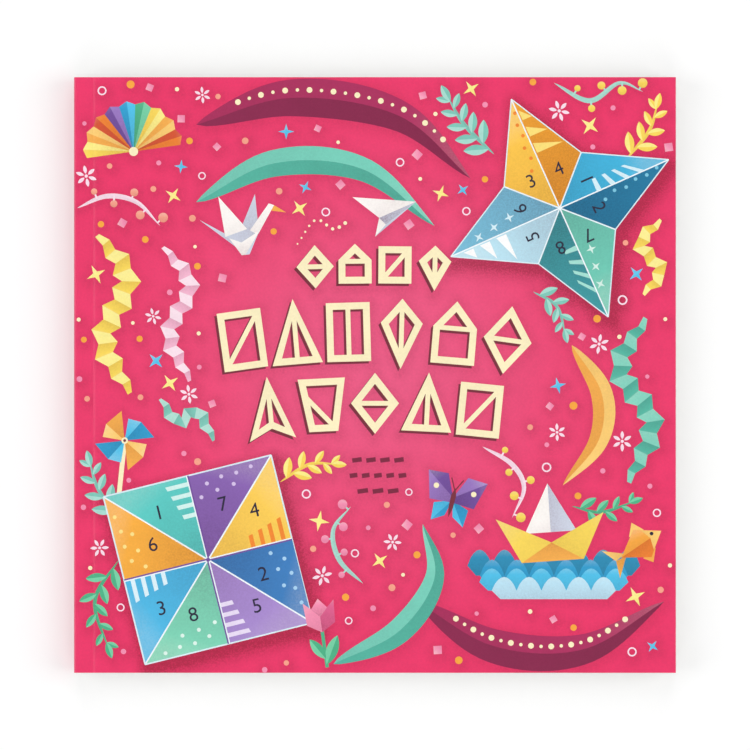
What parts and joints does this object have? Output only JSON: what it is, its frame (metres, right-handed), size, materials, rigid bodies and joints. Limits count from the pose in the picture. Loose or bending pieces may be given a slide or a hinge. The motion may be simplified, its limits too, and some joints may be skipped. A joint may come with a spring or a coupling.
{
  "type": "softcover activity book",
  "caption": "Square softcover book of tear-out paper folding sheets, with a printed card cover wrapped round a glued spine.",
  "frame": {"origin": "middle of the underside, the outer face of the back cover", "axes": "the book lies on its back cover: +Z out of the front cover, +Y to the head (top of the cover picture), +X to the fore edge, so the spine is along -X"},
  "size_m": [0.202, 0.2, 0.0113],
  "materials": {
    "printed_card": "folding board, printed in full colour on a crimson pink ground and film laminated outside, bare white inside",
    "sheet_paper": "uncoated white paper, trimmed edges",
    "binding_glue": "clear-drying padding glue"
  },
  "bodies": {
    "block": {"sheet_block": "sheet_paper", "spine_glue": "binding_glue", "cover_spine": "printed_card"},
    "front_cover": {"front_cover": "printed_card"},
    "back_cover": {"back_cover": "printed_card"}
  },
  "joints": [
    {"name": "front_cover_hinge", "type": "hinge", "parent": "block", "child": "front_cover", "pos_m": [-0.0945, 0, 0.0113], "axis": [0, -1, 0], "range_deg": [0, 180]},
    {"name": "back_cover_hinge", "type": "hinge", "parent": "block", "child": "back_cover", "pos_m": [-0.0945, 0, 0], "axis": [0, 1, 0], "range_deg": [0, 180]}
  ]
}
